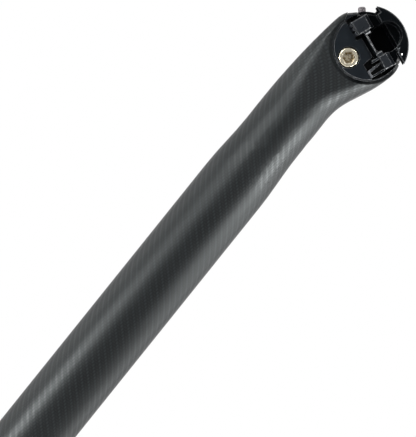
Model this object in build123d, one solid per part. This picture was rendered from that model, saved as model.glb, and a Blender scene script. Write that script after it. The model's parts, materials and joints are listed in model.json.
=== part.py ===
from build123d import *
import os
from math import cos, radians, sin, sqrt, tan

# Bicycle seatpost in millimetres: a one-piece carbon post whose head is a transverse trough, and a
# saddle clamp that turns in it. +Z runs up the post from the middle of its lower end, +X points to
# the side the head is set back to, and -Y is the side the bolt goes in from.
# The clamp is modelled in its own frame: x along the saddle rails, y across, z away from the trough,
# with the origin on the axis that the clamp turns about.

# Post, from its lower end up to the axis that the clamp turns about
post_diameter = 31.6
post_wall = 2.3
tube_length = 264.0
taper_length = 28.0
neck_diameter = 29.2
neck_straight = 10.0
neck_height = 48.0
mouth_chamfer = 0.6

# Head: the trough's outside is a round whose centre lies a little in front of and below the trough's
setback = 8.0
trough_lean = 9.2
head_width = 36.0
head_wall = 2.55
head_center_x = -1.0
head_center_z = -2.0
head_corner_radius = 5.0
head_flat_depth = 0.7
lip_rise = 5.2
front_lip_bevel = 4.9
front_lip_bevel_run = 2.45
crown_wall = 5.0

# Stretch of the neck, as shares of its height, over which each change of section eases in
setback_sweep = (0.28, 1.0)
widening = (0.0, 0.95)
squaring = (0.0, 1.0)

# Sleeve bonded into the trough, with a jaw that stands on the front lip's bevel
sleeve_wall = 0.4
bond_gap = 0.05
sleeve_setdown = 0.4
jaw_foot_rise = 3.3
jaw_height = 7.0
jaw_top_wall = 1.3

# Drum that turns in the sleeve, and how far the clamp leans back in the modelled pose
clamp_lean = 21.35
nose_travel = 5.5
drum_radius = 15.0
drum_clearance = 0.1
edge_break = 0.3

# Saddle rails
rail_diameter = 7.0
rail_spacing = 44.0
rail_height = 8.9
rail_clearance = 0.05

# Core: a middle web with a body above the wedges, a low roof and one hook over each rail
web_thickness = 8.0
web_back_shoulder = 11.4
nose_clearance = 0.1
body_half_width = 11.5
body_lift = 0.4
roof_rise = 2.0
roof_height = 12.0
roof_half_width = 14.0
hook_rise = 2.85
hook_center_x = 0.1
hook_width = 9.1
hook_side_gap = 0.4
hook_floor = 3.0
deep_foot_height = 9.6
deep_foot_inner_x = 9.3
deep_foot_bevel = 1.2
short_foot_height = 11.8
short_foot_step_x = -10.1
short_foot_step = 1.7
pocket_radius = 6.5
pocket_x = 0.5
pocket_z = 9.4

# Wedges, one each side of the web
wedge_gap = 0.5
notch_inner = 11.7
land_front_x = -4.7
land_back_x = 5.0
ramp_height = -2.7
ramp_angle = 8.0
well_corner_x = 6.2
well_height = -5.5

# Rail cradles that ride on the wedges
cradle_inner = 12.5
cradle_outer = 22.5
front_block_start = -12.9
front_block_end = -6.3
rear_block_start = 6.6
rear_block_end = 13.1
block_top = 7.0
rear_block_bottom = 1.7
waist_top = 4.35
waist_bottom = 1.5
notch_half_length = 4.6
notch_floor = 2.4
waist_inner = 17.0
rib_radius = 1.0
rib_count = 3
rib_setback = 0.4
seat_gap = 0.02
finger_width = 1.1
finger_bottom = -1.8
leg_top_x = 8.6
leg_bottom_x = 9.9
leg_end_x = 13.3
leg_wall = 1.0
leg_outer = 17.6
leg_pocket_depth = 3.5

# Bolt across the clamp, with its washer and nut
bolt_diameter = 6.0
bolt_edge_distance = 5.4
bolt_clearance = 0.2
bolt_head_diameter = 9.4
bolt_head_height = 6.0
bolt_head_recess = 0.2
bolt_head_clearance = 0.25
bolt_head_chamfer = 0.6
bolt_tip_length = 0.5
socket_across_flats = 5.0
socket_depth = 3.0
washer_thickness = 1.2
nut_diameter = 9.4
nut_flat_distance = 3.9
nut_height = 5.0
nut_clearance = 0.1
nut_recess = 1.5

# Rubber bumper on the front of the web
bumper_angle = 154.0
bumper_radius = 1.75
bumper_height = 2.5
bumper_round = 0.9
bumper_stem_radius = 1.0
bumper_stem_length = 4.0

# Worked out from the sizes above
post_radius = post_diameter / 2
neck_radius = neck_diameter / 2
taper_end = tube_length + taper_length
loft_start = taper_end + neck_straight / 2
neck_start = taper_end + neck_straight
post_length = neck_start + neck_height
half_head = head_width / 2
half_web = web_thickness / 2
sleeve_inner_radius = drum_radius + drum_clearance
sleeve_outer_radius = sleeve_inner_radius + sleeve_wall
trough_radius = sleeve_outer_radius + bond_gap
head_radius = trough_radius + head_wall
bevel_foot_z = lip_rise - front_lip_bevel
bevel_foot_x = -sqrt(trough_radius**2 - bevel_foot_z**2)
bevel_slope = front_lip_bevel_run / front_lip_bevel
jaw_top_inner_x = -sqrt(sleeve_inner_radius**2 - jaw_height**2)
roof_radius = drum_radius + roof_rise
hook_radius = drum_radius + hook_rise
rail_offset = rail_spacing / 2
rail_seat_radius = rail_diameter / 2 + rail_clearance
wedge_inner = half_web + wedge_gap
hook_inner = half_head + hook_side_gap
hook_outer = hook_inner + hook_width
bolt_seat = half_head - bolt_head_recess - bolt_head_height - washer_thickness
nut_seat = half_head - nut_recess - nut_height
bolt_drop = drum_radius - bolt_edge_distance
trough_frame = Location((setback, 0, post_length), (0, trough_lean, 0))
clamp_frame = Location((setback, 0, post_length), (0, clamp_lean, 0))
# Reach of the tools that cut a piece: more than the clamp's own size in every direction
reach = 2 * (hook_radius + hook_outer)


def smooth_step(start, end, value):
    """Ease from 0 at start to 1 at end, level at both."""
    share = min(max((value - start) / (end - start), 0.0), 1.0)
    return share * share * (3 - 2 * share)


def mix(low, high, share):
    return low + (high - low) * share


def across(profile, y_from, y_to):
    """Extrude a side view, drawn in x and z, between two stations across the post."""
    return extrude(Plane.XZ.offset(-y_to) * profile, amount=y_to - y_from)


def block(x_from, x_to, y_from, y_to, z_from, z_to):
    middle = ((x_from + x_to) / 2, (y_from + y_to) / 2, (z_from + z_to) / 2)
    return Pos(*middle) * Box(x_to - x_from, y_to - y_from, z_to - z_from)


def outline(*points):
    return make_face(Polyline(*points, close=True))


def region_above(height):
    """The half plane of a side view above a height."""
    return Pos(0, height + reach / 2) * Rectangle(2 * reach, reach)


def cross_rod(radius, x, z, y_from, y_to):
    """A round rod across the post, centred on x and z."""
    return across(Pos(x, z) * Circle(radius), y_from, y_to)


def rail_rod():
    """The left saddle rail with its clearance."""
    return Pos(0, -rail_offset, rail_height) * Rot(0, 90, 0) * Cylinder(rail_seat_radius, 2 * reach)


def other_side(part):
    """The same piece on the other side of the clamp: half a turn about the clamp's z."""
    return Rot(0, 0, 180) * part


def head_side(height):
    """Front and back of the head's round outside at a height above the clamp axis."""
    half = sqrt(head_radius**2 - (height - head_center_z) ** 2)
    return setback + head_center_x - half, setback + head_center_x + half


def head_section(z, front, back, half_width, corner_radius):
    """A level section of the head: a rectangle with round corners."""
    return Pos((front + back) / 2, 0, z) * RectangleRounded(back - front, 2 * half_width, corner_radius)


def neck_and_head():
    """Loft from the round neck to the wide head, past the level of the trough's lips."""
    head_front, head_back = head_side(0)
    loft_half_width = half_head + head_flat_depth
    sections = [Pos(0, 0, z) * Circle(neck_radius) for z in (loft_start, neck_start)]
    steps_below = 7
    for step in range(1, steps_below + 1):
        share = step / steps_below
        front = mix(-neck_radius, head_front, share**2)
        back = mix(neck_radius, head_back, smooth_step(*setback_sweep, share))
        half_width = mix(neck_radius, loft_half_width, smooth_step(*widening, share))
        corner_radius = mix(neck_radius, head_corner_radius, smooth_step(*squaring, share))
        z = mix(neck_start, post_length, share)
        sections.append(head_section(z, front, back, half_width, corner_radius))
    lean = radians(trough_lean)
    top_height = lip_rise * cos(lean) + (head_radius - head_center_x) * sin(lean)
    steps_above = 3
    for step in range(1, steps_above + 1):
        height = top_height * step / steps_above
        front, back = head_side(height)
        z = post_length + height
        sections.append(head_section(z, front, back, loft_half_width, head_corner_radius))
    return loft(sections)


def tube_profile(lower_radius, upper_radius, start, end):
    """Half section of the round post: straight, an eased taper, then straight again."""
    taper = Spline((lower_radius, tube_length), (upper_radius, taper_end), tangents=((0, 1), (0, 1)))
    below = Polyline((0, end), (0, start), (lower_radius, start), (lower_radius, tube_length))
    above = Polyline((upper_radius, taper_end), (upper_radius, end), (0, end))
    return make_face([*below.edges(), *taper.edges(), *above.edges()])


def above_levels(front_z, rear_z):
    """Side view of the space above one level in front of the axis and another behind it."""
    return outline(
        (-reach, front_z), (0, front_z), (0, rear_z), (reach, rear_z), (reach, reach), (-reach, reach),
    )


def bevel_point(rise):
    """A point of the front lip's bevel, so far above its foot."""
    return bevel_foot_x - bevel_slope * rise, bevel_foot_z + rise


def make_post_shell():
    tube = revolve(Plane.XZ * tube_profile(post_radius, neck_radius, 0, loft_start), Axis.Z)
    head = neck_and_head() & block(-reach, reach, -half_head, half_head, 0, 2 * post_length)
    above_bevel = outline(bevel_point(0), bevel_point(front_lip_bevel), (0, lip_rise), (0, bevel_foot_z))
    head -= trough_frame * across(region_above(lip_rise) + above_bevel, -reach, reach)
    bore_top = post_length - trough_radius - crown_wall
    bore_radius = post_radius - post_wall
    neck_bore_radius = neck_radius - post_wall
    bore = revolve(Plane.XZ * tube_profile(bore_radius, neck_bore_radius, 0, bore_top), Axis.Z)
    bore = fillet(bore.edges().group_by(Axis.Z)[-1], crown_wall)
    mouth = Cone(bore_radius + mouth_chamfer, bore_radius, mouth_chamfer)
    trough = cross_rod(trough_radius, 0, 0, -reach, reach)
    return tube + head - bore - Pos(0, 0, mouth_chamfer / 2) * mouth - trough_frame * trough


def make_trough_sleeve():
    liner = Circle(sleeve_outer_radius) - above_levels(jaw_height, lip_rise - sleeve_setdown)
    jaw_top = (jaw_top_inner_x - jaw_top_wall, jaw_height)
    jaw = outline(bevel_point(0), bevel_point(jaw_foot_rise), jaw_top, (0, jaw_height), (0, bevel_foot_z))
    jaw = Pos(bond_gap, bond_gap) * jaw - region_above(jaw_height)
    return across(liner + jaw - Circle(sleeve_inner_radius), -half_head, half_head)


def hook_outline():
    """Side view of the left hook: a round back, a short foot in front and a deep one behind."""
    short_step = short_foot_height - short_foot_step
    above_feet = outline(
        (-reach, short_foot_height), (short_foot_step_x, short_foot_height),
        (short_foot_step_x, short_step), (deep_foot_inner_x - deep_foot_bevel, short_step),
        (deep_foot_inner_x - deep_foot_bevel, deep_foot_height + deep_foot_bevel),
        (deep_foot_inner_x, deep_foot_height), (reach, deep_foot_height), (reach, reach), (-reach, reach),
    )
    return (Pos(hook_center_x, 0) * Circle(hook_radius)) & above_feet


def make_clamp_core():
    hook = across(hook_outline(), -hook_outer, -hook_inner)
    hook = chamfer(hook.faces().sort_by(Axis.Y)[0].edges(), edge_break)
    root_outline = (Pos(hook_center_x, 0) * Circle(hook_radius)) & region_above(roof_height)
    hook += across(root_outline, -hook_inner, -roof_half_width)
    pocket_depth_y = roof_half_width + hook_floor
    hook -= cross_rod(pocket_radius, pocket_x, pocket_z, -reach, -pocket_depth_y)
    hook -= rail_rod()
    drum = Circle(drum_radius)
    # The nose over the jaw stops the clamp when it has tilted as far as it travels
    nose_lean = clamp_lean - trough_lean - nose_travel
    over_jaw = Rot(0, 0, nose_lean) * above_levels(jaw_height + nose_clearance, reach / 2)
    raised = over_jaw + region_above(web_back_shoulder)
    web = across(drum + (Circle(roof_radius) & raised), -half_web, half_web)
    body_side = across(drum & region_above(body_lift), -body_half_width, -half_web)
    body_side -= cross_rod(pocket_radius, pocket_x, pocket_z, -reach, -half_web)
    roof = across(Circle(roof_radius) & region_above(roof_height), -roof_half_width, roof_half_width)
    core = web + roof + hook + other_side(hook) + body_side + other_side(body_side)
    core -= cross_rod(bolt_diameter / 2 + bolt_clearance, 0, -bolt_drop, -reach, reach)
    return core - bumper_place() * bumper_stem()


def ramp_line(y, lift):
    """Height of the left wedge's ramp, which rises towards its outer face."""
    return ramp_height + lift - tan(radians(ramp_angle)) * (half_head + y)


def above_ramp(x_from, x_to, lift):
    """Everything above the left wedge's ramp, raised by a lift."""
    side = outline(
        (-cradle_outer, ramp_line(-cradle_outer, lift)), (-notch_inner, ramp_line(-notch_inner, lift)),
        (-notch_inner, reach), (-cradle_outer, reach),
    )
    return Pos(x_from, 0, 0) * extrude(Plane.YZ * side, amount=x_to - x_from)


def wedge_blank():
    """Half drum with a flat land in the middle, a ramp in front of it and a well with a ramp behind."""
    wedge = across(Circle(drum_radius) - region_above(0), -half_head, -wedge_inner)
    wedge = chamfer(wedge.faces().sort_by(Axis.Y)[0].edges(), edge_break)
    wedge -= above_ramp(-reach, land_front_x, 0)
    well_slope = (well_corner_x - land_back_x) / -well_height
    behind_land = outline(
        (land_back_x, reach), (land_back_x, 0), (land_back_x + well_slope * reach, -reach),
        (2 * reach, -reach), (2 * reach, reach),
    )
    well = above_ramp(land_back_x, reach, well_height - ramp_height)
    wedge -= well & across(behind_land, -reach, 0)
    return wedge - cross_rod(bolt_diameter / 2 + bolt_clearance, 0, -bolt_drop, -reach, 0)


def make_left_wedge():
    head_radius_free = bolt_head_diameter / 2 + bolt_head_clearance
    return wedge_blank() - cross_rod(head_radius_free, 0, -bolt_drop, -reach, -bolt_seat)


def nut_outline(clearance):
    """Round nut with one flat on top, which keeps it from turning in its pocket."""
    disc = Circle(nut_diameter / 2 + clearance) - region_above(nut_flat_distance + clearance)
    return Pos(0, -bolt_drop) * disc


def make_right_wedge():
    return other_side(wedge_blank()) - across(nut_outline(nut_clearance), nut_seat, reach)


def rib(x):
    """One rounded rib under a cradle, lying along the wedge's ramp."""
    y_from = -cradle_outer + rib_setback
    y_to = -cradle_inner
    middle = (y_from + y_to) / 2
    height = ramp_line(middle, rib_radius + seat_gap)
    return Pos(x, middle, height) * Rot(90 - ramp_angle, 0, 0) * Cylinder(rib_radius, y_to - y_from)


def make_left_cradle():
    front = block(front_block_start, front_block_end, -cradle_outer, -cradle_inner, -reach, block_top)
    front &= above_ramp(-reach, reach, rib_radius + seat_gap)
    front = chamfer(front.faces().sort_by(Axis.Y)[0].edges(), edge_break)
    rear = block(
        rear_block_start, rear_block_end, -cradle_outer, -cradle_inner, rear_block_bottom, block_top,
    )
    rear = chamfer(rear.faces().sort_by(Axis.Y)[0].edges(), edge_break)
    waist = block(front_block_end, rear_block_start, -cradle_outer, -waist_inner, waist_bottom, waist_top)
    waist -= block(-notch_half_length, notch_half_length, -reach, reach, notch_floor, reach)
    finger = block(
        rear_block_start, rear_block_start + finger_width, -cradle_outer + rib_setback, -cradle_inner,
        finger_bottom, rear_block_bottom,
    )
    leg_bottom = well_height + seat_gap
    leg_outline = outline(
        (leg_top_x, rear_block_bottom), (leg_bottom_x, leg_bottom - leg_wall),
        (leg_end_x, leg_bottom - leg_wall), (leg_end_x, rear_block_bottom),
    )
    pocket_outline = outline(
        (leg_top_x + leg_wall, rear_block_bottom), (leg_bottom_x + leg_wall, leg_bottom + leg_wall),
        (leg_end_x - leg_wall, leg_bottom + leg_wall), (leg_end_x - leg_wall, rear_block_bottom),
    )
    leg = across(leg_outline, -leg_outer, -cradle_inner)
    leg -= across(pocket_outline, -leg_outer, -leg_outer + leg_pocket_depth)
    leg &= above_ramp(-reach, reach, leg_bottom - ramp_height)
    cradle = front + waist + rear + finger + leg
    rib_pitch = (front_block_end - front_block_start) / rib_count
    for index in range(rib_count):
        cradle += rib(front_block_start + rib_pitch * (index + 0.5))
    return cradle - rail_rod()


def make_clamp_bolt():
    head_face = half_head - bolt_head_recess
    under_head = head_face - bolt_head_height
    tip = nut_seat + nut_height + bolt_tip_length
    head = cross_rod(bolt_head_diameter / 2, 0, -bolt_drop, -head_face, -under_head)
    head = chamfer(head.edges().group_by(Axis.Y)[0], bolt_head_chamfer)
    socket = Pos(0, -bolt_drop) * RegularPolygon(socket_across_flats / 2 / cos(radians(30)), 6)
    shank = cross_rod(bolt_diameter / 2, 0, -bolt_drop, -under_head, tip)
    shank = chamfer(shank.edges().group_by(Axis.Y)[-1], bolt_head_chamfer)
    return head + shank - across(socket, -reach, -head_face + socket_depth)


def make_bolt_washer():
    ring = Circle(bolt_head_diameter / 2) - Circle(bolt_diameter / 2 + bolt_clearance)
    return across(Pos(0, -bolt_drop) * ring, -bolt_seat - washer_thickness, -bolt_seat)


def make_clamp_nut():
    hole = Pos(0, -bolt_drop) * Circle(bolt_diameter / 2)
    return across(nut_outline(0) - hole, nut_seat, nut_seat + nut_height)


def bumper_place():
    """Where the bumper stands on the round front of the web, with its z pointing outwards."""
    angle = radians(bumper_angle)
    spot = (roof_radius * cos(angle), 0, roof_radius * sin(angle))
    return Location(spot, (0, 90 - bumper_angle, 0))


def bumper_stem():
    return Pos(0, 0, -bumper_stem_length / 2) * Cylinder(bumper_stem_radius, bumper_stem_length)


def make_nose_bumper():
    # The knob starts inside the web's rim and is cut to its round, so that it sits on it all over
    knob = Cylinder(bumper_radius, 2 * bumper_height)
    knob = fillet(knob.edges().group_by(Axis.Z)[-1], bumper_round)
    knob = bumper_place() * knob - across(Circle(roof_radius), -half_web, half_web)
    return knob + bumper_place() * bumper_stem()


left_cradle = make_left_cradle()
clamp_parts = {
    "clamp_core": make_clamp_core(),
    "left_wedge": make_left_wedge(),
    "right_wedge": make_right_wedge(),
    "left_rail_cradle": left_cradle,
    "right_rail_cradle": other_side(left_cradle),
    "clamp_bolt": make_clamp_bolt(),
    "bolt_washer": make_bolt_washer(),
    "clamp_nut": make_clamp_nut(),
    "nose_bumper": make_nose_bumper(),
}

os.makedirs("parts", exist_ok=True)
export_step(make_post_shell(), "parts/post_shell.step")
export_step(trough_frame * make_trough_sleeve(), "parts/trough_sleeve.step")
for name, part in clamp_parts.items():
    export_step(clamp_frame * part, f"parts/{name}.step")
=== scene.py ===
import json
from math import cos, pi, radians, sin

import bpy
from mathutils import Matrix, Vector

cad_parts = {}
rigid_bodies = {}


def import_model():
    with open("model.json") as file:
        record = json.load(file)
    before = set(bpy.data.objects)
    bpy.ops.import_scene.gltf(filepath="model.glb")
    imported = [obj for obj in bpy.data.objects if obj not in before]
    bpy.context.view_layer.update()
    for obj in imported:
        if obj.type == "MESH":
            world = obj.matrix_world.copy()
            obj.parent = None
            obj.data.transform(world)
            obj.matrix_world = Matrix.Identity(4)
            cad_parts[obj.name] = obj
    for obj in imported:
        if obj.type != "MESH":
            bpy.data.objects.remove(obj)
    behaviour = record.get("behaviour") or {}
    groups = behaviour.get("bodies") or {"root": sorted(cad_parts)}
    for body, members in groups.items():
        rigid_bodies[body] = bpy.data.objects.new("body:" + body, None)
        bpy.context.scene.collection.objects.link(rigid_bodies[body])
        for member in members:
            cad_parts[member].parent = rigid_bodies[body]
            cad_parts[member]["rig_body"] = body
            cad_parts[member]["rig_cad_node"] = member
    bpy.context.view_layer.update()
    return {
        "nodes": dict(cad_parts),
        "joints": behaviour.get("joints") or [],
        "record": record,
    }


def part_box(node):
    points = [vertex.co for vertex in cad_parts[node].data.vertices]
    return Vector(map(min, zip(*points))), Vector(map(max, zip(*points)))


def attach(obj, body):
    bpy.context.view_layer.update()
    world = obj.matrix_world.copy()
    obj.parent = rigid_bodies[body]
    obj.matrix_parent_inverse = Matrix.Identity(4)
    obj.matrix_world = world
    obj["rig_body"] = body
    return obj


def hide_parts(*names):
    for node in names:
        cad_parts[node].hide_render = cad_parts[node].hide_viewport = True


# Bicycle seatpost: finishes, edges and studio for the carbon post and its saddle clamp, in metres.
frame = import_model()

mm = 0.001

# Places from the frame: the axis that the clamp turns about, and the way the saddle rails run
clamp_axis = Vector(frame["joints"][0]["pos_m"])
mounts = {mount["name"]: mount for mount in frame["record"]["mounts"]}
post_radius = mounts["seat_tube_pin"]["dims"]["r_mm"] * mm
rail_way = Vector(mounts["left_rail_seat"]["axis"])
sideways = Vector((0, 1, 0))
clamp_up = rail_way.cross(sideways)

# The trough leans less than the clamp that lies in it
trough_lean = radians(9.2)
trough_way = Vector((cos(trough_lean), 0, -sin(trough_lean)))
trough_up = Vector((sin(trough_lean), 0, cos(trough_lean)))

# Camera
camera_place = Vector((0.5 * mm, -1090 * mm, 245.1 * mm))
camera_roll = radians(38.75)
camera_reach = 50.0
view_height = 199.5 * mm

# Studio: light from all round on matt surfaces, and the calmer room behind the camera that shiny ones mirror
ambient_light = 0.3
room_light = 0.32
room_fades = (-0.75, 0.15)
floor_radius = 0.55
floor_drop = 0.5 * mm

# Parts of a noise's range that a pattern is drawn from
noise_range = (0.3, 0.7)
noise_middle = (0.35, 0.65)
noise_core = (0.4, 0.6)

# Carbon weave: whole tows round the post, so that the pattern closes on itself
tows_round_post = 96
tow_width = 2 * pi * post_radius / tows_round_post
twill_repeat = 4.0
streaks_across_tow = 9.0
streaks_along_tow = 0.7
weave_depth = 0.05 * mm
neck_start_height = 302 * mm

# Painted shade: a dark ring round the lower part of the trough, where the carbon loses colour and sheen,
# darker further along the trough
shade_ring_radius = 17.0 * mm
shade_ring_fade = 0.35 * mm
shade_ring_top = 6.0 * mm
shade_deepens = (2.0 * mm, 9.0 * mm)
shade_ring_lit_shares = (0.5, 0.05)

# Walls of a cradle's leg painted lighter for the light they catch, from the clamp's axis
leg_start = 8.2 * mm
near_wall_end = 10.7 * mm
low_wall_top = -4.3 * mm
leg_face_inside = 17.3 * mm
leg_face_outside = 18.0 * mm

# Where bright worn edges fade into painted shade along a rim, and on a cradle: down its slope, low down and
# in its pocket
rim_fades = (-1.0 * mm, 5.0 * mm)
rim_bright_left = 0.2
slope_share = -0.5
slope_fades = (-4.0 * mm, 1.0 * mm)
slope_bright_left = 0.15
low_fades = (-3.0 * mm, 3.0 * mm)
low_bright_left = 0.4
pocket_fades = (16.0 * mm, 17.2 * mm)
pocket_bright_left = 0.05

# Bolt's head, from its face
socket_top = 0.2 * mm
socket_floor = 2.0 * mm
head_depth = 7.0 * mm

# Edge breaks
fine_edge = 0.08 * mm
clear_edge = 0.16 * mm
soft_edge = 0.2 * mm
rubber_edge = 0.05 * mm
lip_edge = 0.1 * mm
sharp_angle = radians(35)
smooth_angle = radians(30)

# Facets that are joined before the edges are broken
short_edge = 0.02 * mm
lip_short_edge = 0.08 * mm
flat_angle = radians(0.5)

# Edges of the moulding that are broken: at the tube's lower end, and above this height in the trough
tube_end_height = 5 * mm
lip_height = 1.5 * mm

# Corners cut at the notch in a cradle's waist, from the clamp's axis
notch_corner = 0.55 * mm
notch_half_length = 4.6 * mm
notch_tolerance = 0.05 * mm
notch_outside = 22.4 * mm
notch_floor = 2.3 * mm
notch_top = 4.45 * mm

# Corners cut at the front of the sleeve's jaw, from the clamp's axis
jaw_corner = 0.9 * mm
jaw_outside = 17.9 * mm
jaw_forward = -14.5 * mm
jaw_bottom = 3.4 * mm

# Punch mark on each hook's deep foot, from the clamp's axis
mark_along = 10.9 * mm
mark_up = 10.8 * mm
mark_out = 27.5 * mm
mark_radius = 0.44 * mm
mark_overlap = 0.02 * mm
mark_sides = 24


def add_node(material, kind, **settings):
    """A new shader node with its settings."""
    node = material.node_tree.nodes.new(kind)
    for name, value in settings.items():
        setattr(node, name, value)
    return node


def feed(material, socket, value):
    """Give a socket a number or another socket's value."""
    if isinstance(value, bpy.types.NodeSocket):
        material.node_tree.links.new(value, socket)
    else:
        socket.default_value = value


def calculate(material, operation, first, second=0.0):
    """One step of arithmetic on the way to a pattern."""
    node = add_node(material, "ShaderNodeMath", operation=operation)
    feed(material, node.inputs[0], first)
    feed(material, node.inputs[1], second)
    return node.outputs[0]


def multiply(material, first, second):
    """The product of two values."""
    return calculate(material, "MULTIPLY", first, second)


def blend_colours(material, share, low, high):
    """A colour between two others."""
    node = add_node(material, "ShaderNodeMix", data_type="RGBA")
    feed(material, node.inputs[0], share)
    feed(material, node.inputs[6], low)
    feed(material, node.inputs[7], high)
    return node.outputs[2]


def spread(material, value, from_low, from_high, to_low, to_high, curve="LINEAR"):
    """Carry a value from one range to another."""
    node = add_node(material, "ShaderNodeMapRange", interpolation_type=curve)
    numbers = (value, from_low, from_high, to_low, to_high)
    for socket, number in zip(node.inputs, numbers):
        feed(material, socket, number)
    return node.outputs[0]


def split_axes(material, place):
    """The x, y and z of a place."""
    node = add_node(material, "ShaderNodeSeparateXYZ")
    feed(material, node.inputs[0], place)
    return node.outputs


def grain(material, place, scale, detail=3.0):
    """Fine noise at so many grains a metre."""
    node = add_node(material, "ShaderNodeTexNoise")
    feed(material, node.inputs["Vector"], place)
    node.inputs["Scale"].default_value = scale
    node.inputs["Detail"].default_value = detail
    return node.outputs[0]


def raise_surface(material, shader, height, depth, strength):
    """Relief on the surface from a height between 0 and 1."""
    node = add_node(material, "ShaderNodeBump")
    node.inputs["Strength"].default_value = strength
    node.inputs["Distance"].default_value = depth
    feed(material, node.inputs["Height"], height)
    feed(material, shader.inputs["Normal"], node.outputs[0])


def new_finish(name, **sockets):
    """A material with the shader's plain values set, its shader, and its place on the object."""
    material = bpy.data.materials.new(name)
    material.use_nodes = True
    shader = material.node_tree.nodes["Principled BSDF"]
    for socket, value in sockets.items():
        shader.inputs[socket.replace("_", " ")].default_value = value
    place = add_node(material, "ShaderNodeTexCoord").outputs["Object"]
    return material, shader, place


def measure(material, place, way):
    """How far a place lies from the clamp's axis in one direction."""
    offset = add_node(material, "ShaderNodeVectorMath", operation="SUBTRACT")
    feed(material, offset.inputs[0], place)
    offset.inputs[1].default_value = clamp_axis
    along = add_node(material, "ShaderNodeVectorMath", operation="DOT_PRODUCT")
    feed(material, along.inputs[0], offset.outputs[0])
    along.inputs[1].default_value = way
    return along.outputs["Value"]


def towards_short_foot(material, place):
    """How far a place lies along the rail on its own side, towards the short foot of the hook there."""
    side = calculate(material, "SIGN", measure(material, place, sideways))
    return multiply(material, side, measure(material, place, rail_way))


def tow_crown(material, cycle, across):
    """Height of a tow: round across its width, and rising over its float."""
    turn = multiply(material, cycle, pi / 2)
    rise = calculate(material, "ABSOLUTE", calculate(material, "SINE", turn))
    offset = calculate(material, "SUBTRACT", calculate(material, "FRACT", across), 0.5)
    fall = multiply(material, multiply(material, offset, offset), 4.0)
    bow = calculate(material, "SUBTRACT", 1.0, fall)
    return multiply(material, rise, bow)


def twill(material, place):
    """Two-over-two twill of tows: where the warp is on top, the height, and the fibres' streaks."""
    x, y, z = split_axes(material, place)
    axis_x = spread(material, z, neck_start_height, clamp_axis.z, 0.0, clamp_axis.x, "SMOOTHSTEP")
    angle = calculate(material, "ARCTAN2", y, calculate(material, "SUBTRACT", x, axis_x))
    around = multiply(material, angle, tows_round_post / (2 * pi))
    along = calculate(material, "DIVIDE", z, tow_width)
    column = calculate(material, "FLOOR", around)
    row = calculate(material, "FLOOR", along)
    # Where each tow is in its cycle of two over and two under
    warp_run = calculate(material, "ADD", column, along)
    weft_run = calculate(material, "ADD", around, row)
    warp_cycle = calculate(material, "FLOORED_MODULO", warp_run, twill_repeat)
    weft_cycle = calculate(material, "FLOORED_MODULO", weft_run, twill_repeat)
    warp_on_top = calculate(material, "LESS_THAN", warp_cycle, twill_repeat / 2)
    height = add_node(material, "ShaderNodeMix", data_type="FLOAT")
    feed(material, height.inputs[0], warp_on_top)
    feed(material, height.inputs[2], tow_crown(material, weft_cycle, along))
    feed(material, height.inputs[3], tow_crown(material, warp_cycle, around))
    # Fibres show as fine streaks along each tow
    streaks = add_node(material, "ShaderNodeCombineXYZ")
    feed(material, streaks.inputs[0], multiply(material, around, streaks_across_tow))
    feed(material, streaks.inputs[1], multiply(material, along, streaks_along_tow))
    fibre = grain(material, streaks.outputs[0], 1.0, 2.0)
    return warp_on_top, height.outputs[0], fibre


def outside_painted_shade(material, place):
    """Share left unshaded: full but on the ring of painted shade round the lower part of the trough, which
    is darker further along the trough.
    """
    forward = measure(material, place, trough_way)
    upward = measure(material, place, trough_up)
    forward_square = multiply(material, forward, forward)
    upward_square = multiply(material, upward, upward)
    outward = calculate(material, "SQRT", calculate(material, "ADD", forward_square, upward_square))
    shade_ring_fades = (shade_ring_radius - shade_ring_fade, shade_ring_radius + shade_ring_fade)
    past_shade_ring = spread(material, outward, *shade_ring_fades, 0.0, 1.0, "SMOOTHSTEP")
    above = spread(material, upward, 0.0, shade_ring_top, 0.0, 1.0, "SMOOTHSTEP")
    lit_along_trough = spread(material, forward, *shade_deepens, *shade_ring_lit_shares)
    clear_of_shade_ring = calculate(material, "MAXIMUM", past_shade_ring, above)
    return calculate(material, "MAXIMUM", clear_of_shade_ring, lit_along_trough)


def carbon_weave():
    """Twill of carbon tows under a satin clear coat."""
    weft_tone = (0.0011, 0.0014, 0.0017, 1)
    warp_tone = (0.0110, 0.0128, 0.0142, 1)
    gap_tone = (0.0006, 0.0008, 0.0010, 1)
    haze_tone = (0.0058, 0.0066, 0.0072, 1)
    shade_ring_tone = (0.0008, 0.0010, 0.0012, 1)
    material, shader, place = new_finish("carbon_weave", Specular_Tint=(0.94, 1.0, 1.0, 1))
    warp_on_top, height, fibre = twill(material, place)
    tow_tone = blend_colours(material, warp_on_top, weft_tone, warp_tone)
    crest_tone = blend_colours(material, height, gap_tone, tow_tone)
    haze = spread(material, grain(material, place, 55.0), *noise_range, 0.0, 1.0)
    hazed = blend_colours(material, multiply(material, haze, 0.35), crest_tone, haze_tone)
    # Painted shade: the ring round the lower trough darkens the colour and takes away the sheen
    unshaded = outside_painted_shade(material, place)
    feed(material, shader.inputs["Base Color"], blend_colours(material, unshaded, shade_ring_tone, hazed))
    crest_sheen = spread(material, height, 0.0, 1.0, 0.255, 0.36)
    feed(material, shader.inputs["Specular IOR Level"], multiply(material, unshaded, crest_sheen))
    tow_roughness = spread(material, warp_on_top, 0.0, 1.0, 0.46, 0.38)
    fibre_roughness = spread(material, fibre, *noise_range, -0.04, 0.04)
    roughness = calculate(material, "ADD", tow_roughness, fibre_roughness)
    feed(material, shader.inputs["Roughness"], roughness)
    raise_surface(material, shader, height, weave_depth, 0.2)
    return material


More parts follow.
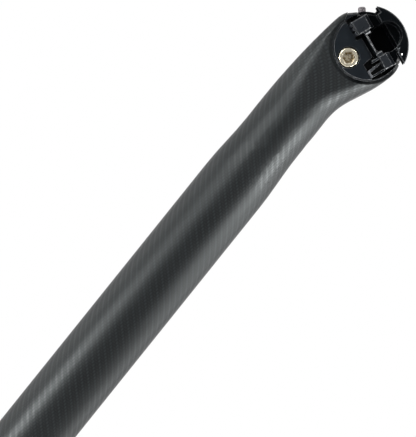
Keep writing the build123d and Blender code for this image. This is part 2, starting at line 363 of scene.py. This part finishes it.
def black_anodised(name, dark, light, gloss):
    """Bead-blasted aluminium, anodised black."""
    material, shader, place = new_finish(name, Specular_IOR_Level=gloss)
    speckle = grain(material, place, 4200.0)
    cloud = grain(material, place, 160.0)
    tone = blend_colours(material, cloud, dark, light)
    # Painted light: the cradles' leg walls are made lighter where they catch the light
    if name == "cradle_black":
        tone = painted_light_leg(material, place, tone)
    feed(material, shader.inputs["Base Color"], tone)
    feed(material, shader.inputs["Roughness"], spread(material, cloud, *noise_range, 0.27, 0.36))
    raise_surface(material, shader, speckle, 0.012 * mm, 0.3)
    return material


def painted_light_leg(material, place, tone):
    """Two walls of a cradle's leg painted grey for the light they catch, the lower one lightest."""
    near_wall_lit_tone = (0.032, 0.034, 0.038, 1)
    low_wall_lit_tone = (0.075, 0.078, 0.085, 1)
    towards_leg = multiply(material, towards_short_foot(material, place), -1.0)
    out = calculate(material, "ABSOLUTE", measure(material, place, sideways))
    on_leg = calculate(material, "GREATER_THAN", towards_leg, leg_start)
    near_wall = calculate(material, "LESS_THAN", towards_leg, near_wall_end)
    low_wall = calculate(material, "LESS_THAN", measure(material, place, clamp_up), low_wall_top)
    past_inside = calculate(material, "GREATER_THAN", out, leg_face_inside)
    before_block = calculate(material, "LESS_THAN", out, leg_face_outside)
    face = multiply(material, on_leg, multiply(material, past_inside, before_block))
    near_wall_lit = blend_colours(material, multiply(material, near_wall, face), tone, near_wall_lit_tone)
    return blend_colours(material, multiply(material, low_wall, face), near_wall_lit, low_wall_lit_tone)


def rim_wear_and_shade(material, place):
    """Share of bright edge on a rim: painted shade makes it less by the short foot."""
    towards_foot = towards_short_foot(material, place)
    return spread(material, towards_foot, *rim_fades, 1.0, rim_bright_left)


def cradle_wear_and_shade(material, place):
    """Share of bright edge on a cradle: painted shade makes it less towards the short foot, low down and
    inside the pocket.
    """
    upward = measure(material, place, clamp_up)
    out = calculate(material, "ABSOLUTE", measure(material, place, sideways))
    fall = multiply(material, towards_short_foot(material, place), slope_share)
    slope = calculate(material, "ADD", fall, upward)
    on_slope = spread(material, slope, *slope_fades, slope_bright_left, 1.0)
    low_down = spread(material, upward, *low_fades, low_bright_left, 1.0)
    in_pocket = spread(material, out, *pocket_fades, pocket_bright_left, 1.0)
    return calculate(material, "MINIMUM", on_slope, calculate(material, "MINIMUM", low_down, in_pocket))


def worn_edge_and_shade(name, dark, light, share):
    """Edges where the black has rubbed thin and the metal shines through in patches, kept dark where painted
    shade falls.
    """
    material, shader, place = new_finish(name, Metallic=0.6)
    patches = spread(material, grain(material, place, 700.0), *noise_middle, 0.0, 1.0)
    wear_and_shade = multiply(material, patches, share(material, place))
    feed(material, shader.inputs["Base Color"], blend_colours(material, wear_and_shade, dark, light))
    feed(material, shader.inputs["Roughness"], spread(material, wear_and_shade, 0.0, 1.0, 0.36, 0.26))
    return material


def champagne_plating():
    """Pale gold plating with turning marks round the bolt, darker brown in patches deeper in its socket."""
    dark = (0.64, 0.58, 0.44, 1)
    light = (0.75, 0.69, 0.55, 1)
    socket_brown = (0.24, 0.175, 0.09, 1)
    material, shader, place = new_finish("champagne_plating", Metallic=1.0)
    low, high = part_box("clamp_bolt")
    centred = add_node(material, "ShaderNodeMapping")
    feed(material, centred.inputs["Vector"], place)
    centred.inputs["Location"].default_value = -(low + high) / 2
    rings = add_node(material, "ShaderNodeTexWave", wave_type="RINGS", rings_direction="Y")
    feed(material, rings.inputs["Vector"], centred.outputs[0])
    rings.inputs["Scale"].default_value = 1500.0
    rings.inputs["Distortion"].default_value = 1.5
    turned = rings.outputs[1]
    across = split_axes(material, place)[1]
    deep = spread(material, across, low.y + socket_top, low.y + socket_floor, 0.0, 1.0)
    in_head = calculate(material, "LESS_THAN", across, low.y + head_depth)
    in_socket = multiply(material, deep, in_head)
    patches = spread(material, grain(material, place, 800.0, 1.0), *noise_core, 0.25, 1.0)
    plated = blend_colours(material, turned, dark, light)
    socket_browned = blend_colours(material, multiply(material, in_socket, patches), plated, socket_brown)
    feed(material, shader.inputs["Base Color"], socket_browned)
    feed(material, shader.inputs["Roughness"], spread(material, turned, 0.0, 1.0, 0.22, 0.34))
    raise_surface(material, shader, turned, 0.005 * mm, 0.2)
    return material


def painted_glint():
    """A pale dot painted in as a glint, brighter here and there."""
    glint_dim = (0.72, 0.72, 0.71, 1)
    glint_bright = (0.86, 0.86, 0.85, 1)
    material, shader, place = new_finish("painted_glint", Specular_IOR_Level=0.4)
    glint_spread = spread(material, grain(material, place, 2500.0), *noise_middle, 0.0, 1.0)
    feed(material, shader.inputs["Base Color"], blend_colours(material, glint_spread, glint_dim, glint_bright))
    feed(material, shader.inputs["Roughness"], spread(material, glint_spread, 0.0, 1.0, 0.5, 0.35))
    return material


def grey_rubber():
    """Dull moulded rubber."""
    dark = (0.075, 0.068, 0.072, 1)
    light = (0.13, 0.118, 0.124, 1)
    material, shader, place = new_finish("grey_rubber", Specular_IOR_Level=0.3)
    cloud = grain(material, place, 700.0)
    feed(material, shader.inputs["Base Color"], blend_colours(material, cloud, dark, light))
    feed(material, shader.inputs["Roughness"], spread(material, cloud, *noise_range, 0.6, 0.8))
    raise_surface(material, shader, grain(material, place, 5000.0), 0.02 * mm, 0.3)
    return material


def select_only(piece):
    """Select one piece and make it the active one."""
    bpy.ops.object.select_all(action="DESELECT")
    piece.select_set(True)
    bpy.context.view_layer.objects.active = piece


def pick_edges(piece, wanted):
    """Select the edges of a piece that lie on one side of the post and whose two ends pass a test."""
    bpy.ops.object.mode_set(mode="EDIT")
    bpy.ops.mesh.select_mode(type="EDGE")
    bpy.ops.mesh.select_all(action="DESELECT")
    bpy.ops.object.mode_set(mode="OBJECT")
    points = piece.data.vertices
    for edge in piece.data.edges:
        start, end = (points[index].co for index in edge.vertices)
        edge.select = start.y * end.y > 0 and wanted(start) and wanted(end)
    bpy.ops.object.mode_set(mode="EDIT")


def keep_edges(piece, wanted):
    """Let go of the selected edges whose ends don't both pass a test."""
    bpy.ops.object.mode_set(mode="OBJECT")
    points = piece.data.vertices
    for edge in piece.data.edges:
        edge.select = edge.select and all(wanted(points[index].co) for index in edge.vertices)
    bpy.ops.object.mode_set(mode="EDIT")


def notch_end(point):
    """The outer corners of the notch in a cradle's waist."""
    offset = point - clamp_axis
    at_end = abs(abs(offset.dot(rail_way)) - notch_half_length) < notch_tolerance
    outside = abs(offset.y) > notch_outside
    return at_end and outside and notch_floor < offset.dot(clamp_up) < notch_top


def jaw_front(point):
    """The two ends of the slope on the front of the sleeve's jaw."""
    offset = point - clamp_axis
    outside = abs(offset.y) > jaw_outside
    return outside and offset.dot(trough_way) < jaw_forward and offset.dot(trough_up) > jaw_bottom


def lips_and_end(point):
    """The tops of the trough's lips and the lower end of the tube."""
    return point.z < tube_end_height or (point - clamp_axis).dot(trough_up) > lip_height


def punch_mark(piece, side, glint_paint):
    """A small conical mark punched into the deep foot of a hook, with a pale dot painted in it as a glint.
    """
    depth = mark_out - mark_radius / 2 + mark_overlap
    on_foot = clamp_axis + side * mark_along * rail_way + mark_up * clamp_up
    bpy.ops.object.select_all(action="DESELECT")
    bpy.ops.mesh.primitive_cone_add(
        vertices=mark_sides,
        radius1=mark_radius,
        depth=mark_radius,
        location=on_foot - side * depth * sideways,
        rotation=(radians(side * -90), 0, 0),
    )
    punch = bpy.context.object
    punch.data.materials.append(glint_paint)
    select_only(piece)
    cut = piece.modifiers.new("punch_mark", "BOOLEAN")
    cut.object = punch
    cut.operation = "DIFFERENCE"
    cut.solver = "EXACT"
    cut.material_mode = "TRANSFER"
    bpy.ops.object.modifier_apply(modifier=cut.name)
    bpy.data.objects.remove(punch)


def plain_copy(node, surface, edge):
    """A copy of a piece for the scene, with its two finishes and its own shading."""
    source = frame["nodes"][node]
    piece = source.copy()
    piece.data = source.data.copy()
    piece.name = f"{node}_finished"
    del piece["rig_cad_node"]
    del piece["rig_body"]
    bpy.context.scene.collection.objects.link(piece)
    piece.parent = None
    select_only(piece)
    bpy.ops.mesh.customdata_custom_splitnormals_clear()
    piece.data.materials.clear()
    piece.data.materials.append(surface)
    piece.data.materials.append(edge)
    return piece


def dressed_copy(node, body, surface, edge, edge_width, corner=None, corner_width=0.0, mark=None):
    """A copy of a piece with its flats joined up, its sharp edges broken and its rounds shaded smooth."""
    is_moulding = node == "post_shell"
    piece = plain_copy(node, surface, edge)
    bpy.ops.object.mode_set(mode="EDIT")
    bpy.ops.mesh.select_mode(type="EDGE")
    bpy.ops.mesh.select_all(action="SELECT")
    bpy.ops.mesh.remove_doubles(threshold=lip_short_edge if is_moulding else short_edge)
    if not is_moulding:
        bpy.ops.mesh.dissolve_limited(angle_limit=flat_angle)
    if corner:
        pick_edges(piece, corner)
        bpy.ops.mesh.bevel(offset=corner_width, segments=1, clamp_overlap=False, material=1)
    bpy.ops.mesh.select_all(action="DESELECT")
    bpy.ops.mesh.edges_select_sharp(sharpness=sharp_angle)
    if is_moulding:
        keep_edges(piece, lips_and_end)
    bpy.ops.mesh.bevel(offset=edge_width, segments=2, clamp_overlap=False, material=1)
    bpy.ops.object.mode_set(mode="OBJECT")
    if mark:
        punch_mark(piece, 1, mark)
        punch_mark(piece, -1, mark)
    bpy.ops.object.shade_smooth_by_angle(angle=smooth_angle)
    # Large faces keep their own direction at the edges they share with small ones
    evened = piece.modifiers.new("evened_shading", "WEIGHTED_NORMAL")
    evened.keep_sharp = True
    bpy.ops.object.modifier_apply(modifier=evened.name)
    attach(piece, body)
    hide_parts(node)
    return piece


def softbox(name, place, aim, width, height, power):
    """A rectangular studio lamp that faces its aim, with its height upright."""
    lamp = bpy.data.lights.new(name, "AREA")
    lamp.shape = "RECTANGLE"
    lamp.size = width
    lamp.size_y = height
    lamp.energy = power
    holder = bpy.data.objects.new(name, lamp)
    back = (Vector(place) - Vector(aim)).normalized()
    side = Vector((0, 0, 1)).cross(back).normalized()
    holder.matrix_world = Matrix((side, back.cross(side), back)).transposed().to_4x4()
    holder.location = place
    holder.visible_camera = False
    bpy.context.scene.collection.objects.link(holder)


def white_studio():
    """White behind the post for whatever looks at it, and a calmer room behind the camera."""
    world = bpy.data.worlds.new("white_studio")
    bpy.context.scene.world = world
    world.use_nodes = True
    background = world.node_tree.nodes["Background"]
    path = add_node(world, "ShaderNodeLightPath")
    direction = add_node(world, "ShaderNodeTexCoord").outputs["Generated"]
    away = split_axes(world, direction)[1]
    mirrored = spread(world, away, *room_fades, room_light, 1.0, "SMOOTHSTEP")
    looked_at = path.outputs["Is Camera Ray"]
    looked_through = path.outputs["Is Transmission Ray"]
    seen = calculate(world, "MAXIMUM", looked_at, looked_through)
    shining = multiply(world, path.outputs["Is Glossy Ray"], mirrored)
    shown = calculate(world, "MAXIMUM", seen, shining)
    background.inputs["Color"].default_value = (1, 1, 1, 1)
    feed(world, background.inputs["Strength"], calculate(world, "MAXIMUM", shown, ambient_light))


def pale_floor():
    """A pale round floor just under the post, which takes its shadow."""
    dark = (0.86, 0.86, 0.86, 1)
    light = (0.9, 0.9, 0.9, 1)
    material, shader, place = new_finish("pale_floor", Roughness=0.9)
    cloud = grain(material, place, 3.0)
    feed(material, shader.inputs["Base Color"], blend_colours(material, cloud, dark, light))
    bpy.ops.object.select_all(action="DESELECT")
    bpy.ops.mesh.primitive_circle_add(
        vertices=96, radius=floor_radius, fill_type="NGON", location=(0, 0, -floor_drop)
    )
    floor = bpy.context.object
    floor.name = "floor"
    floor.data.materials.append(material)


def set_camera():
    """The camera on the bolt's side, rolled so that the post leans across the picture."""
    lens = bpy.data.cameras.new("camera")
    lens.lens = lens.sensor_width * -camera_place.y / view_height
    lens.clip_end = camera_reach
    camera = bpy.data.objects.new("camera", lens)
    right = Vector((cos(camera_roll), 0, sin(camera_roll)))
    up = Vector((-sin(camera_roll), 0, cos(camera_roll)))
    back = right.cross(up)
    camera.matrix_world = Matrix((right, up, back)).transposed().to_4x4()
    camera.location = camera_place
    bpy.context.scene.collection.objects.link(camera)
    bpy.context.scene.camera = camera


bpy.context.scene.view_settings.view_transform = "Standard"
white_studio()
pale_floor()
set_camera()
softbox("lower_left_box", (-0.42, -0.34, -0.05), aim=(0, 0, 0.08), width=0.24, height=0.24, power=10.5)
softbox("upper_left_box", (-0.40, -0.38, 0.42), aim=(0, 0, 0.32), width=0.42, height=0.20, power=2.4)
softbox("neck_box", (0.45, -0.14, 0.385), aim=(0, 0, 0.31), width=0.24, height=0.16, power=3.2)
softbox("far_low_box", (2.60, -0.80, -1.05), aim=(0, 0, 0.325), width=1.8, height=0.6, power=105.0)
softbox("left_wall", (-0.75, 0.15, 0.1), aim=(0, 0, 0.1), width=0.5, height=0.5, power=1.1)
softbox("right_wall", (0.75, 0.15, 0.15), aim=(0, 0, 0.15), width=0.5, height=0.7, power=2.8)
softbox("top_box", (0.26, 0.06, 0.95), aim=clamp_axis, width=0.24, height=0.24, power=5.0)
softbox("front_top_box", (0.03, -0.57, 0.75), aim=clamp_axis, width=0.12, height=0.12, power=1.6)

carbon = carbon_weave()
drum_black = black_anodised(
    "drum_black", dark=(0.0020, 0.0032, 0.0046, 1), light=(0.0036, 0.0054, 0.0074, 1), gloss=0.16
)
core_black = black_anodised(
    "core_black", dark=(0.0008, 0.0012, 0.0015, 1), light=(0.0018, 0.0024, 0.0030, 1), gloss=0.04
)
cradle_black = black_anodised(
    "cradle_black", dark=(0.0055, 0.0066, 0.0082, 1), light=(0.0085, 0.0100, 0.0122, 1), gloss=0.16
)
# Edge finishes: random wear, with painted shade by position
bright_edge = worn_edge_and_shade(
    "bright_edge", dark=(0.02, 0.022, 0.024, 1), light=(0.24, 0.245, 0.25, 1), share=cradle_wear_and_shade
)
rim_edge = worn_edge_and_shade(
    "rim_edge", dark=(0.015, 0.016, 0.017, 1), light=(0.22, 0.225, 0.23, 1), share=rim_wear_and_shade
)
dim_edge = worn_edge_and_shade(
    "dim_edge", dark=(0.006, 0.007, 0.008, 1), light=(0.07, 0.075, 0.08, 1), share=rim_wear_and_shade
)
plating = champagne_plating()
glint_paint = painted_glint()
rubber = grey_rubber()

dressed_copy("post_shell", "post", carbon, carbon, lip_edge)
dressed_copy(
    "trough_sleeve", "post", drum_black, rim_edge, fine_edge,
    corner=jaw_front, corner_width=jaw_corner,
)
# Each hook's punch mark holds a painted glint
dressed_copy("clamp_core", "clamp", core_black, dim_edge, clear_edge, mark=glint_paint)
for node in ("left_wedge", "right_wedge"):
    dressed_copy(node, "clamp", drum_black, rim_edge, fine_edge)
for node in ("left_rail_cradle", "right_rail_cradle"):
    dressed_copy(
        node, "clamp", cradle_black, bright_edge, clear_edge,
        corner=notch_end, corner_width=notch_corner,
    )
for node in ("clamp_bolt", "bolt_washer", "clamp_nut"):
    dressed_copy(node, "clamp", plating, plating, soft_edge)
dressed_copy("nose_bumper", "clamp", rubber, rubber, rubber_edge)
